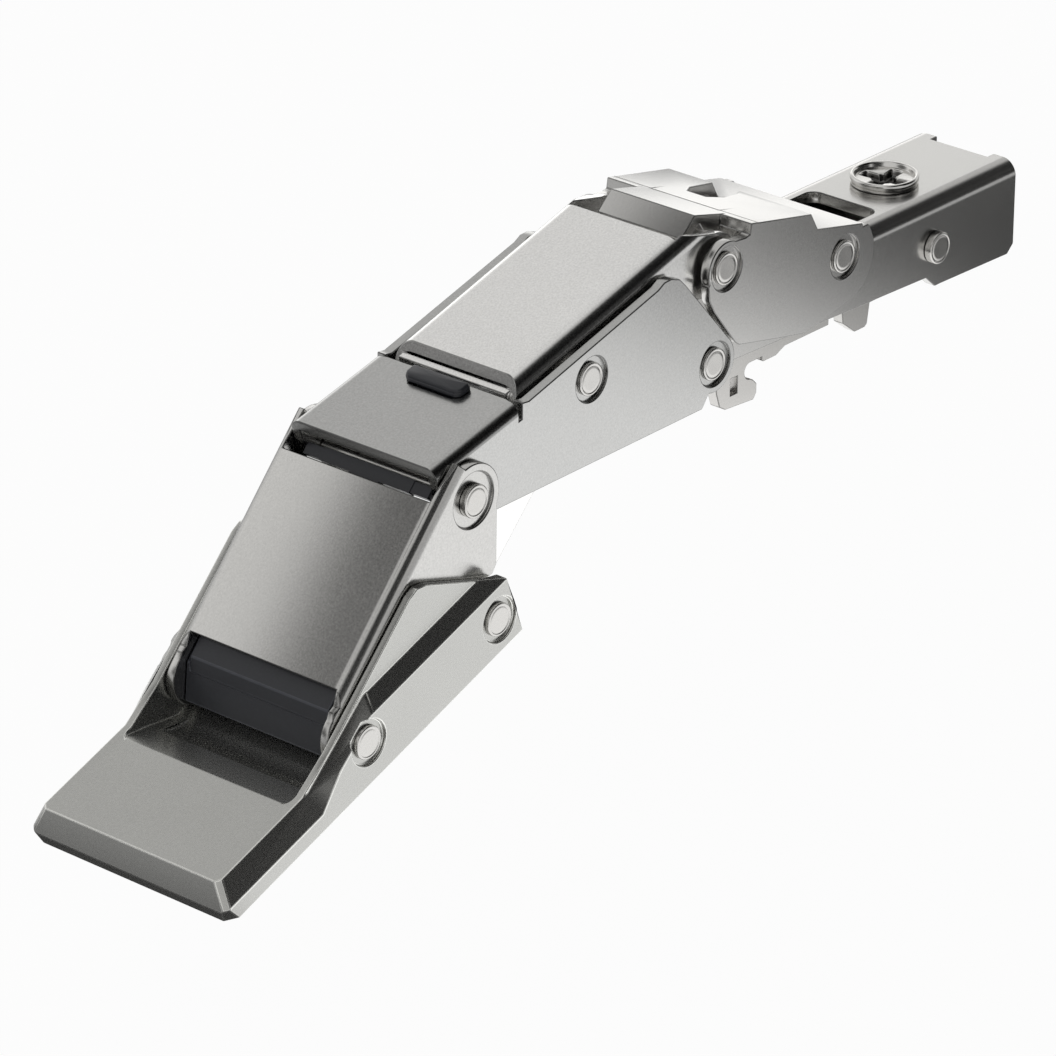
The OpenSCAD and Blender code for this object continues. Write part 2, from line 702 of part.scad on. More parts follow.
module boss_body() {
    // base with slanted long sides, a slanted front face and bevelled front corners
    corner_top = [-(front_lean + rail_w) / sqrt(2) - corner_d, boss_plate_h];
    corner_mid = [nose / sqrt(2) - corner_d, (nose_v + band_v) / 2];
    corner_low = [-2 * corner_d, 0];
    difference() {
        intersection() {
            translate([-1, 0, 0]) rotate([90, 0, 90]) linear_extrude(boss_l + 4)
                polygon([[-boss_h, 0], [boss_h, 0], [boss_h, band_v], [ear_h, boss_plate_h],
                    [-ear_h, boss_plate_h], [-boss_h, band_v]]);
            slab(-boss_h, boss_h) polygon([[0, 0], [boss_l, 0], [boss_l + nose, nose_v],
                [boss_l - front_lean, boss_plate_h], [0, boss_plate_h]]);
        }
        for (s = [0, 1]) mirror([0, s, 0]) translate([boss_l, boss_h, 0]) rotate([0, 0, 45])
            slab(-6, 6) polygon([corner_low - [0, 1], [6, -1], [6, 9],
                corner_top + 0.4 * (corner_top - corner_mid), corner_mid, corner_low]);
    }
    both(trough_h, ear_h) boss_ear_outline();
    // thick rails beside the ears, slanted above
    for (s = [0, 1]) mirror([0, s, 0]) hull() {
        slab(ear_h - 0.1, boss_h) polygon([[0, 0], [22.4, 0], [22.4, rail_v], [0, rail_v]]);
        slab(ear_h - 0.1, ear_h) polygon([[0.6, 0], [21.4, 0], [21.4, rail_v + 1.4], [2.6, rail_v + 1.4]]);
    }
    for (s = [0, 1]) mirror([0, s, 0]) hull() {
        slab(ear_h - 0.1, boss_h) polygon([[22, 0], [rim_u - 0.8, 0], [rim_u - 0.8, band_v],
            [28.3, 4.6], [22.4, rail_v], [22, rail_v]]);
        slab(ear_h - 0.1, ear_h) polygon([[21, 0], [rim_u, 0], [rim_u, boss_plate_h - 0.4],
            [27.9, 5.9], [21.6, rail_v + 1.5], [21, rail_v + 1.5]]);
    }
}

// Trough for the levers: the walls slope to the front, and a round pocket lies below the damper.
module boss_trough() {
    pocket_r = 5;
    shelf = 1.6;
    intersection() {
        slab(-trough_h, trough_h) polygon([[-2, boss_floor_t], [27, boss_floor_t], [28.6, 1.6],
            [pocket_u, 2.75], [trough_u, boss_plate_h + 0.1], [trough_u, 20], [-2, 20]]);
        translate([trough_u / 2 - 10, 0, -1]) linear_extrude(30)
            round_plate(trough_u + 20, 2 * trough_h, 1.4);
    }
    slab(-trough_h + shelf, trough_h - shelf) {
        translate([27, boss_floor_t + pocket_r]) intersection() {
            circle(pocket_r);
            translate([0, -8]) square([8, 8]);
        }
    }
}

module door_boss() {
    color(metal) in_boss() difference() {
        boss_body();
        boss_trough();
        for (p = [[boss_pin_u, boss_pin_v], [boss_pin_u, boss_pin_v] + boss_link]) {
            across(p, pin_r + hold_gap, boss_h + 1);
            head_recess(p, boss_h);
        }
    }
}

module rear_boss_pin() {
    color(metal) riveted_pin(rear_boss, boss_h);
}

module front_boss_pin() {
    color(metal) riveted_pin(front_boss, boss_h);
}

module boss_sleeves() {
    color(metal) ring_pair(rear_boss, 1.95, inner_h + 0.05, trough_h, pin_r + hold_gap);
}

mounting_frame();
clip_lever();
clip_lever_pin();
clip_spring();
arm();
rear_arm_pin();
depth_screw();
closing_spring();
control_link();
upper_arm_pin();
link_pin();
upper_bushes();
inner_lever();
outer_lever();
lower_arm_pin();
scissor_pin();
lower_bushes();
lever_washers();
switch_slider();
front_lever();
knuckle_pin();
damper_housing();
damper_cylinder();
damper_slide();
door_boss();
rear_boss_pin();
front_boss_pin();
boss_sleeves();
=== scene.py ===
import bmesh
import bpy
import numpy as np
from mathutils import Matrix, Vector
from mathutils.bvhtree import BVHTree


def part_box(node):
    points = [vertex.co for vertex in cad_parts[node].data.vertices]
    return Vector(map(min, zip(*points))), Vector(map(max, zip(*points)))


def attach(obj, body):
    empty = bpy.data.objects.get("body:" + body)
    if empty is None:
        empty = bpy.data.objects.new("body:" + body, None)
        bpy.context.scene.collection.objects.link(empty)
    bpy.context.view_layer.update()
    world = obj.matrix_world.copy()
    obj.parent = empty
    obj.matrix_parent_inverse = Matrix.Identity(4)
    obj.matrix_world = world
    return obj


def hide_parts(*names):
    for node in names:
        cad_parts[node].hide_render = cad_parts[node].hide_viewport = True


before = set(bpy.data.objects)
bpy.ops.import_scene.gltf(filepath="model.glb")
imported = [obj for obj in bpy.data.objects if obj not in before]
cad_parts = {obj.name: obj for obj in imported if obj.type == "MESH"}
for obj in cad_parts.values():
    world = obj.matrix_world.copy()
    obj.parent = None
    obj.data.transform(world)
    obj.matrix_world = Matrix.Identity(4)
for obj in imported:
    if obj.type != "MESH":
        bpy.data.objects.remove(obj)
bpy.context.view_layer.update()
scene = bpy.context.scene
scene.view_settings.view_transform = "Standard"
mm = 0.001

# ---- camera
# A product photograph from the front right, about 25 degrees above the hinge.
# The lens is long, so that the levers keep nearly parallel edges.
lens = bpy.data.cameras.new("photo_camera")
lens.sensor_width = 36
lens.lens = 209.25
lens.clip_start = 0.01
camera = bpy.data.objects.new("photo_camera", lens)
right, up = (-0.6518, 0.7584, 0.0036), (-0.3222, -0.2812, 0.9039)
back = (0.6866, 0.588, 0.4277)
stand = Matrix.Translation((0.48042, 0.38542, 0.27041))
camera.matrix_world = stand @ Matrix((right, up, back)).transposed().to_4x4()
scene.collection.objects.link(camera)
scene.camera = camera


# ---- light tent
# A bright wall beside the arm's rear, a paler tent all round and seven dark flags in it.
# The plated sheet draws its bright webs and the black bands along its bends from these.
def node_adder(tree):
    """A function that adds a node to the tree, sets its plain values and wires its inputs."""

    def add(kind, values=None, wires=None, **settings):
        n = tree.nodes.new(kind)
        for key, value in settings.items():
            setattr(n, key, value)
        for key, value in (values or {}).items():
            n.inputs[key].default_value = value
        for key, source in (wires or {}).items():
            tree.links.new(source, n.inputs[key])
        return n

    return add


tent = bpy.data.worlds.new("light_tent")
scene.world = tent
tent.use_nodes = True
tent.node_tree.nodes.clear()
add = node_adder(tent.node_tree)
way = add("ShaderNodeTexCoord").outputs["Generated"]


def patch(aim, inner, outer, at_middle, outside):
    """A soft round patch of the tent, one value within inner degrees of aim, one past outer."""
    aim = np.array(aim) / np.linalg.norm(aim)
    turn_to = add("ShaderNodeVectorMath", {1: tuple(aim)}, {0: way}, operation="DOT_PRODUCT")
    soft = add("ShaderNodeMapRange",
               {"From Min": np.cos(np.radians(outer)), "From Max": np.cos(np.radians(inner)),
                "To Min": outside, "To Max": at_middle},
               {"Value": turn_to.outputs["Value"]}, interpolation_type="SMOOTHSTEP")
    return soft.outputs[0]


wall = patch((-0.72, -0.7, 0.03), 6, 29, 0.8, 0.0)
side_box = patch((0.42, -0.85, 0.35), 6, 30, 0.2, 0.0)
# Each flag: the way to it, the angles where its soft edge begins and ends, and its shade.
flags = {"top": ((0.47, -0.38, 0.8), 5, 22, 0.08),
         "bends": ((-0.62, 0.42, 0.66), 19, 33, 0.04),
         "low": ((-0.74, 0.66, 0.08), 10, 20, 0.05),
         "front": ((0.86, -0.5, -0.02), 12, 32, 0.12),
         "boss": ((-0.15, 0.7, 0.7), 18, 30, 0.05),
         "levers": ((0.35, 0.8, 0.5), 17, 28, 0.05),
         "corner": ((-0.4, 0.85, 0.34), 15, 25, 0.05)}
level_glow, zenith_glow = 0.75, 0.62
height = add("ShaderNodeSeparateXYZ", wires={0: way})
even = add("ShaderNodeMapRange", {"From Min": 0.0, "From Max": 1.0, "To Min": level_glow,
           "To Max": zenith_glow}, {"Value": height.outputs["Z"]})
dim = even.outputs[0]
for aim, inner, outer, shade in flags.values():
    flag = patch(aim, inner, outer, shade, 1.0)
    dim = add("ShaderNodeMath", wires={0: dim, 1: flag}, operation="MULTIPLY").outputs[0]
lit = add("ShaderNodeMath", wires={0: dim, 1: wall}, operation="ADD")
full = add("ShaderNodeMath", wires={0: lit.outputs[0], 1: side_box}, operation="ADD")
rays = add("ShaderNodeLightPath")
inside = add("ShaderNodeBackground", {"Color": (1.0, 0.995, 0.985, 1)},
             {"Strength": full.outputs[0]})
backdrop = add("ShaderNodeBackground", {"Color": (1, 1, 1, 1), "Strength": 1.0})
straight = add("ShaderNodeMath", wires={0: rays.outputs["Is Camera Ray"],
               1: rays.outputs["Is Transmission Ray"]}, operation="MAXIMUM")
seen = add("ShaderNodeMixShader", wires={0: straight.outputs[0], 1: inside.outputs[0],
           2: backdrop.outputs[0]})
add("ShaderNodeOutputWorld", wires={"Surface": seen.outputs[0]})

# ---- paper floor
# A white paper sheet a little below the hinge, which keeps its soft shadow.
# The glow that mirrors see is painted light and shade: it fades behind the arm and under the
# boss's front, where their shade would fall, so that sides show a gradient.
floor_z = -0.04
paper_share = 0.96  # of what the camera sees, the rest takes the shadow
plain_glow = 0.6  # what mirrors see of the sheet on both sides of its graded strip
sheet_mesh = bpy.data.meshes.new("floor")
sheet_mesh.from_pydata([(x, y, floor_z) for x, y in ((-3, -3), (3, -3), (3, 3), (-3, 3))], [],
                       [(0, 1, 2, 3)])
floor = bpy.data.objects.new("floor", sheet_mesh)
scene.collection.objects.link(floor)
paper = bpy.data.materials.new("white_paper")
paper.use_nodes = True
paper.node_tree.nodes.clear()
add = node_adder(paper.node_tree)
rays = add("ShaderNodeLightPath")
place = add("ShaderNodeTexCoord")
along = add("ShaderNodeSeparateXYZ", wires={0: place.outputs["Object"]})


def band(axis, start, end, low, high):
    """A smooth step of the floor's glow along an axis, from low at start to high at end."""
    step = add("ShaderNodeMapRange", {"From Min": start, "From Max": end, "To Min": low,
               "To Max": high}, {"Value": along.outputs[axis]},
               interpolation_type="SMOOTHSTEP")
    return step.outputs[0]


middle = add("ShaderNodeMath", wires={0: band("X", -0.12, -0.05, 0.08, 1.22),
             1: band("X", 0.07, 0.088, 1.0, 0.04)}, operation="MULTIPLY")
ahead = add("ShaderNodeMath", wires={0: band("X", 0.1, 0.15, 0.0, 0.4),
            1: band("Y", -0.01, 0.015, 1.0, 0.0)}, operation="MULTIPLY")
mirrored = add("ShaderNodeMath", wires={0: middle.outputs[0], 1: ahead.outputs[0]},
               operation="ADD")
between = add("ShaderNodeMath", wires={0: band("Y", -0.11, -0.075, 0.0, 1.0),
              1: band("Y", 0.1, 0.13, 1.0, 0.0)}, operation="MULTIPLY")
painted_light_and_shade = add("ShaderNodeMix", {"A": plain_glow}, {"Factor": between.outputs[0],
             "B": mirrored.outputs[0]}, data_type="FLOAT")
strength = add("ShaderNodeMix", {"B": 1.0}, {"Factor": rays.outputs["Is Camera Ray"],
               "A": painted_light_and_shade.outputs[0]}, data_type="FLOAT")
amount = add("ShaderNodeMath", {1: paper_share}, {0: rays.outputs["Is Camera Ray"],
             2: rays.outputs["Is Glossy Ray"]}, operation="MULTIPLY_ADD")
matt = add("ShaderNodeBsdfDiffuse", {"Color": (0.84, 0.84, 0.84, 1)})
glow = add("ShaderNodeEmission", {"Color": (1, 1, 1, 1)}, {"Strength": strength.outputs[0]})
mix = add("ShaderNodeMixShader", wires={0: amount.outputs[0], 1: matt.outputs[0],
          2: glow.outputs[0]})
add("ShaderNodeOutputMaterial", wires={"Surface": mix.outputs[0]})
floor.data.materials.append(paper)


# ---- mounting frame
# The rail below the arm, pressed and folded from steel strip, nickel plated.
# Its hooks clip over the pins of the cabinet's mounting plate.
def grain_group():
    """Fine grain and slow clouding in Object coordinates, as a colour factor and a height."""
    g = bpy.data.node_groups.new("fine_grain", "ShaderNodeTree")
    for name, value in (("Grain Scale", 4200.0), ("Grain Contrast", 0.1),
                        ("Cloud Scale", 60.0), ("Cloud Contrast", 0.06)):
        g.interface.new_socket(name, in_out="INPUT", socket_type="NodeSocketFloat"
                               ).default_value = value
    for name in ("Factor", "Height"):
        g.interface.new_socket(name, in_out="OUTPUT", socket_type="NodeSocketFloat")
    add = node_adder(g)
    given = add("NodeGroupInput")
    where = add("ShaderNodeTexCoord")
    fine = add("ShaderNodeTexNoise", {"Detail": 2.0, "Roughness": 0.6},
               {"Vector": where.outputs["Object"], "Scale": given.outputs["Grain Scale"]})
    cloud = add("ShaderNodeTexNoise", {"Detail": 3.0, "Roughness": 0.55},
                {"Vector": where.outputs["Object"], "Scale": given.outputs["Cloud Scale"]})
    fine_low = add("ShaderNodeMath", {1: 0.5}, {0: fine.outputs["Fac"]}, operation="SUBTRACT")
    cloud_low = add("ShaderNodeMath", {1: 0.5}, {0: cloud.outputs["Fac"]}, operation="SUBTRACT")
    fine_part = add("ShaderNodeMath", wires={0: fine_low.outputs[0],
                    1: given.outputs["Grain Contrast"]}, operation="MULTIPLY")
    both = add("ShaderNodeMath", wires={0: cloud_low.outputs[0],
               1: given.outputs["Cloud Contrast"], 2: fine_part.outputs[0]},
               operation="MULTIPLY_ADD")
    factor = add("ShaderNodeMath", {1: 1.0}, {0: both.outputs[0]}, operation="ADD")
    add("NodeGroupOutput", wires={"Factor": factor.outputs[0], "Height": fine.outputs["Fac"]})
    return g


fine_grain = grain_group()


def finish(name, colour, roughness, metallic=1.0, grain=0.2, cloud=0.08, bump=0.02,
           grain_scale=4200.0, cloud_scale=70.0, bow=0.0, edge_shade_and_highlight=-0.62):
    """A grained finish with a very small bump.

    bow rounds a web, its height being -bow y^2, and the last argument paints shade on its rounded
    edges where below 0 and a highlight where above 0.
    """
    m = bpy.data.materials.new(name)
    m.use_nodes = True
    m.node_tree.nodes.clear()
    add = node_adder(m.node_tree)
    g = add("ShaderNodeGroup", node_tree=fine_grain)
    g.inputs["Grain Scale"].default_value = grain_scale
    g.inputs["Grain Contrast"].default_value = grain
    g.inputs["Cloud Scale"].default_value = cloud_scale
    g.inputs["Cloud Contrast"].default_value = cloud
    # Faces marked edge get painted shade (factor below 0) or a painted highlight (above 0); on
    # the screw the mark is painted shade in its recess.
    painted_edge_mask = add("ShaderNodeAttribute", attribute_name="edge")
    dark = add("ShaderNodeMath", {1: edge_shade_and_highlight, 2: 1.0}, {0: painted_edge_mask.outputs["Fac"]},
               operation="MULTIPLY_ADD")
    shade = add("ShaderNodeMath", wires={0: g.outputs["Factor"], 1: dark.outputs[0]},
                operation="MULTIPLY")
    tint = add("ShaderNodeVectorMath", {0: colour}, {"Scale": shade.outputs[0]},
               operation="SCALE")
    rough = add("ShaderNodeMath", {1: roughness}, {0: g.outputs["Factor"]},
                operation="MULTIPLY")
    lift = add("ShaderNodeBump", {"Strength": bump, "Distance": 0.0001},
               {"Height": g.outputs["Height"]})
    if bow:
        where = add("ShaderNodeTexCoord")
        across = add("ShaderNodeSeparateXYZ", wires={0: where.outputs["Object"]})
        square = add("ShaderNodeMath", wires={0: across.outputs["Y"], 1: across.outputs["Y"]},
                     operation="MULTIPLY")
        sag = add("ShaderNodeMath", {1: -bow}, {0: square.outputs[0]}, operation="MULTIPLY")
        lift = add("ShaderNodeBump", {"Strength": 1.0, "Distance": 1.0},
                   {"Height": sag.outputs[0], "Normal": lift.outputs[0]})
    skin = add("ShaderNodeBsdfPrincipled", {"Metallic": metallic},
               {"Base Color": tint.outputs[0], "Roughness": rough.outputs[0],
                "Normal": lift.outputs[0]})
    add("ShaderNodeOutputMaterial", wires={"Surface": skin.outputs[0]})
    return m


def eased(node, body, skin, width, turns=2, sharp=32):
    """A copy of a CAD piece with merged faces and every sharp edge rounded by width.

    The rounded faces carry the value 1 in the attribute edge, where the finish paints shade or a
    highlight on them.
    """
    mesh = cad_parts[node].data.copy()
    mesh.materials.clear()
    bm = bmesh.new()
    bm.from_mesh(mesh)
    same_point, flat_angle, stray_share = 2e-6, np.radians(0.4), 0.45
    bmesh.ops.remove_doubles(bm, verts=bm.verts, dist=same_point)
    bmesh.ops.dissolve_limit(bm, angle_limit=flat_angle, verts=bm.verts, edges=bm.edges,
                             delimit={"NORMAL"})
    corners = [e for e in bm.edges if len(e.link_faces) == 2
               and e.calc_face_angle(0) > np.radians(sharp)]
    edge = bm.faces.layers.float.new("edge")
    surface = BVHTree.FromBMesh(bm)
    made = bmesh.ops.bevel(bm, geom=corners, offset=width * mm, segments=turns, profile=0.5,
                           affect="EDGES", clamp_overlap=False, harden_normals=False)
    for f in made["faces"]:
        f[edge] = 1.0
    # A corner between very short edges can throw a point out, so it goes back to the sheet.
    for v in bm.verts:
        spot, _, _, away = surface.find_nearest(v.co)
        if away > stray_share * width * mm:
            v.co = spot
    bmesh.ops.dissolve_degenerate(bm, edges=bm.edges, dist=1e-7)
    for f in bm.faces:
        f.smooth = True
    bm.to_mesh(mesh)
    bm.free()
    mesh.name = node + "_eased"
    mesh.set_sharp_from_angle(angle=np.radians(40))
    piece = bpy.data.objects.new(node + "_eased", mesh)
    scene.collection.objects.link(piece)
    piece.data.materials.append(skin)
    even = piece.modifiers.new("even_normals", "WEIGHTED_NORMAL")
    even.keep_sharp = True
    even.weight = 100
    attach(piece, body)
    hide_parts(node)


frame_nickel = finish("nickel_frame_strip", (0.62, 0.61, 0.59), 0.3)
eased("mounting_frame", "frame", frame_nickel, 0.1)

# ---- clip latch
# A small pressed steel latch between the frame's sides, blackened, on its own pin.
# A thumb at the arm's rear end lifts it off the mounting plate.
latch_steel = finish("dark_latch_steel", (0.22, 0.22, 0.22), 0.36)
eased("clip_lever", "clip", latch_steel, 0.1)


def grid_piece(name, rings, skin, body, node):
    """A piece from a grid of closed rings, quads between neighbours, poles merged at the ends."""
    m, n = rings.shape[:2]
    index = np.arange(m * n).reshape(m, n)
    low, high = index[:-1], index[1:]
    quads = np.stack([low, np.roll(low, -1, 1), np.roll(high, -1, 1), high], -1)
    mesh = bpy.data.meshes.new(name)
    mesh.from_pydata((rings.reshape(-1, 3) * mm).tolist(), [], quads.reshape(-1, 4).tolist())
    bm = bmesh.new()
    bm.from_mesh(mesh)
    bmesh.ops.remove_doubles(bm, verts=bm.verts, dist=1e-7)
    bmesh.ops.dissolve_degenerate(bm, edges=bm.edges, dist=1e-8)
    bmesh.ops.recalc_face_normals(bm, faces=bm.faces)
    bm.to_mesh(mesh)
    bm.free()
    mesh.polygons.foreach_set("use_smooth", [True] * len(mesh.polygons))
    mesh.set_sharp_from_angle(angle=np.radians(50))
    piece = bpy.data.objects.new(name, mesh)
    scene.collection.objects.link(piece)
    piece.data.materials.append(skin)
    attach(piece, body)
    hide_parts(node)
    return piece


def turned(profile, axis_x, axis_z, sides=72):
    """Rings of a turned piece along Y: each profile point (r, y) is carried round the axis."""
    r, y = np.array(profile, float).T[:, :, None]
    a = np.linspace(0, 2 * np.pi, sides, endpoint=False)[None]
    return np.stack([axis_x + r * np.cos(a), y + 0 * a, axis_z + r * np.sin(a)], -1)


rivet_nickel = finish("nickel_rivet", (0.62, 0.61, 0.59), 0.24, grain=0.2)
low, high = (np.array(c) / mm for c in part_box("clip_lever_pin"))
pin_r = (high[0] - low[0]) / 2
end = high[1]
half_pin = [(0, end), (pin_r - 0.2, end), (pin_r - 0.05, end - 0.05), (pin_r, end - 0.2)]
pin_line = half_pin + [(r, -y) for r, y in half_pin[::-1]]
grid_piece("clip_pin_turned", turned(pin_line, (low[0] + high[0]) / 2, (low[2] + high[2]) / 2),
           rivet_nickel, "frame", "clip_lever_pin")

# ---- arm
# The long arm, folded from one strip of steel into a channel and nickel plated.
# A slot behind the link and a notch in its rear edge are punched before the folding.
# Its plating is painted a little darker than the frame's (0.58 against 0.62), painted shade for
# its dimmer sides.
arm_nickel = finish("nickel_arm_strip", (0.58, 0.575, 0.56), 0.22)
eased("arm", "arm_body", arm_nickel, 0.12)


# ---- riveted pins
# Steel pins that are set at both ends, so that each head fills its pressed recess.
# The punch leaves a thin raised rim with a fine groove inside it.
def rivet(node, body, depth, dish=0.05, shank=1.25):
    """A pin with equal heads: a flat face, a groove, a rim with rounded edge, then the shank."""
    low, high = (np.array(c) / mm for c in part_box(node))
    r, y = (high[0] - low[0]) / 2, high[1]
    side = [(0, y - 0.03), (0.3 * r, y - 0.03), (0.62 * r, y - 0.02), (0.74 * r, y - 0.02),
            (0.77 * r, y - dish), (0.8 * r, y - dish - 0.01), (0.83 * r, y - dish),
            (0.86 * r, y - 0.01), (0.9 * r, y), (0.95 * r, y - 0.015), (0.985 * r, y - 0.05),
            (r, y - 0.11), (r, y - depth), (shank, y - depth - 0.01)]
    line = side + [(q, -h) for q, h in side[::-1]]
    rings = turned(line, (low[0] + high[0]) / 2, (low[2] + high[2]) / 2)
    grid_piece(node + "_set", rings, rivet_nickel, body, node)


rivet("rear_arm_pin", "arm_body", 0.85)
rivet("upper_arm_pin", "control", 0.41)
rivet("link_pin", "control", 0.41)
rivet("lower_arm_pin", "outer", 0.41)
rivet("scissor_pin", "outer", 0.41)
rivet("knuckle_pin", "front", 0.7)
rivet("rear_boss_pin", "boss", 0.41)
rivet("front_boss_pin", "boss", 0.41)

# ---- depth screw
# A low turned screw with a rolled rim, an undercut below it and a sunk cross recess.
# Its spiral below the arm moves the arm along the frame.
screw_steel = finish("bright_screw_steel", (0.72, 0.71, 0.69), 0.17, grain=0.15)
low, high = (np.array(c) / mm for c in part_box("depth_screw"))
cx, top, r_out = (low[0] + high[0]) / 2, high[2], (high[0] - low[0]) / 2
body_line = np.array([(0, -3.15), (r_out - 0.75, -3.15), (r_out - 0.7, -3.1),
                      (r_out - 0.7, -1.1), (r_out - 0.12, -1.09), (r_out - 0.04, -1.02),
                      (r_out - 0.04, -0.8), (r_out - 0.2, -0.74), (r_out - 0.2, -0.66),
                      (r_out - 0.02, -0.6), (r_out, -0.5), (r_out, -0.2),
                      (r_out - 0.06, -0.08), (r_out - 0.16, -0.01), (r_out - 0.3, 0),
                      (r_out - 0.42, -0.06), (r_out - 0.5, -0.2), (r_out - 0.56, -0.5)])
a = np.linspace(0, 2 * np.pi, 192, endpoint=False)[None]
# Recess: the height over r and a is a sloping floor less four slots and a round middle.
r_in = np.concatenate([np.linspace(r_out - 0.6, 0.12, 40), [0.0]])[:, None]
slot_turn, slot_half, slot_reach, hub_r = 0.1, 0.62, 2.75, 1.25
pad_depth, pad_fall, slot_depth = 0.55, 0.16, 0.85
slot_w = slot_half + 0.02 * r_in
across = np.minimum(np.abs(r_in * np.sin(a - slot_turn)), np.abs(r_in * np.cos(a - slot_turn)))
slot = (1 / (1 + np.exp((across - slot_w) / 0.05))
        / (1 + np.exp((r_in - slot_reach) / 0.06)))
hub = 1 / (1 + np.exp((r_in - hub_r) / 0.08))
floor_h = (-pad_depth - pad_fall * (r_out - r_in) / r_out
           - slot_depth * np.maximum(slot, hub))
outer_r, outer_h = body_line.T[:, :, None]
r_all = np.concatenate([outer_r + 0 * a, r_in + 0 * a])
h_all = np.concatenate([outer_h + 0 * a, floor_h + 0 * a])
h_all[-1] = h_all[-1].mean()
screw_rings = np.stack([cx + r_all * np.cos(a), r_all * np.sin(a), top + h_all], -1)
screw = grid_piece("depth_screw_turned", screw_rings, screw_steel, "screw",
                   "depth_screw")
# Painted shade darkens what lies low in the recess: 0 at the pads, 1.3 at the slots' floor.
place = np.empty(len(screw.data.vertices) * 3)
screw.data.vertices.foreach_get("co", place)
px, py, pz = place.reshape(-1, 3).T / mm
depth = np.clip((top - 0.62 - pz) / 0.35, 0, 1) * 1.3
depth *= np.hypot(px - cx, py) < r_out - 0.55
recess_shade = screw.data.attributes.new("edge", "FLOAT", "POINT")
recess_shade.data.foreach_set("value", depth)


def joined(name, parts, skin, body, slot, *nodes):
    """One piece of several tubes of rings, which stands for the nodes named."""
    offset, points, quads = 0, [], []
    for rings in parts:
        m, n = rings.shape[:2]
        index = offset + np.arange(m * n).reshape(m, n)
        low, high = index[:-1], index[1:]
        quads.append(np.stack([low, np.roll(low, -1, 1), np.roll(high, -1, 1), high],
                              -1).reshape(-1, 4))
        points.append(rings.reshape(-1, 3))
        offset += m * n
    mesh = bpy.data.meshes.new(name)
    mesh.from_pydata((np.concatenate(points) * mm).tolist(), [],
                     np.concatenate(quads).tolist())
    bm = bmesh.new()
    bm.from_mesh(mesh)
    bmesh.ops.remove_doubles(bm, verts=bm.verts, dist=1e-7)
    bmesh.ops.recalc_face_normals(bm, faces=bm.faces)
    bm.to_mesh(mesh)
    bm.free()
    mesh.polygons.foreach_set("use_smooth", [True] * len(mesh.polygons))
    piece = bpy.data.objects.new(name, mesh)
    scene.collection.objects.link(piece)
    piece.data.materials.append(skin)
    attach(piece, body)
    if nodes:
        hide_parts(*nodes)
    return piece


# The cam peg stands below the screw's neck, off its axis, and turns in the frame's slot.
peg_x = -29.8
peg_r = np.array([0.0, 1.05, 1.2, 1.2, 0.0])[:, None]
peg_z = np.array([8.05, 8.05, 8.2, 9.55, 9.55])[:, None]
a = np.linspace(0, 2 * np.pi, 40, endpoint=False)[None]
peg = np.stack([peg_x + peg_r * np.cos(a), peg_r * np.sin(a), peg_z + 0 * a], -1)
joined("depth_screw_peg", [peg], screw_steel, "screw", "screw_steel").data.set_sharp_from_angle(
    angle=np.radians(40))


# ---- control link
# The short link over the arm, pressed from strip with an opening and turned-down rims.
# Its top is the brightest face, because it mirrors the wall of the tent.
link_nickel = finish("nickel_link_strip", (0.62, 0.615, 0.6), 0.22, bow=5.0)
eased("control_link", "control", link_nickel, 0.12, sharp=50)


# ---- springs
# Close-wound springs of hard drawn wire: the closing spring round the link's rear pin, with
# a long loop below the link, and the latch's small return spring.
def wire_rings(path, radius, level, sides=12):
    """Rings of a round wire: each is spanned by the path's normal to level and its binormal."""
    ahead = np.gradient(path, axis=0)
    ahead /= np.linalg.norm(ahead, axis=1, keepdims=True)
    out = np.cross(ahead, np.array(level, float))
    out /= np.linalg.norm(out, axis=1, keepdims=True)
    other = np.cross(ahead, out)
    a = np.linspace(0, 2 * np.pi, sides, endpoint=False)
    scale = np.full(len(path), radius)
    scale[[0, -1]] = 0.0
    turn = (np.cos(a)[None, :, None] * out[:, None]
            + np.sin(a)[None, :, None] * other[:, None])
    return path[:, None] + scale[:, None, None] * turn


def softened(path, width=5):
    """The path with its corners rounded by a moving average, its two ends kept."""
    wide = np.concatenate([np.repeat(path[:1], width // 2, 0), path,
                           np.repeat(path[-1:], width // 2, 0)])
    kernel = np.ones(width) / width
    return np.stack([np.convolve(wide[:, k], kernel, "valid") for k in range(3)], 1)


def doubled_ends(path):
    """The path with its first and last point moved in a little, for the closing rings."""
    return np.concatenate([path[:1], path[:1] * 0.999 + path[1:2] * 0.001, path[1:-1],
                           path[-1:] * 0.999 + path[-2:-1] * 0.001, path[-1:]])


def helix(cx, cz, r, y0, y1, a0, a1, count):
    """Points round an axis along Y: the angle and Y both run evenly from start to end."""
    t = np.linspace(0, 1, count)
    a = np.radians(a0 + (a1 - a0) * t)
    return np.stack([cx + r * np.cos(a), y0 + (y1 - y0) * t, cz + r * np.sin(a)], 1)


def radial(cx, cz, y, angle, r0, r1, count):
    """Points of a straight leg that runs out from an axis along Y at one angle."""
    r = np.linspace(r0, r1, count)
    a = np.radians(angle)
    return np.stack([cx + r * np.cos(a), y + 0 * r, cz + r * np.sin(a)], 1)


spring_steel = finish("bright_spring_wire", (0.6, 0.59, 0.57), 0.2, grain=0.06)
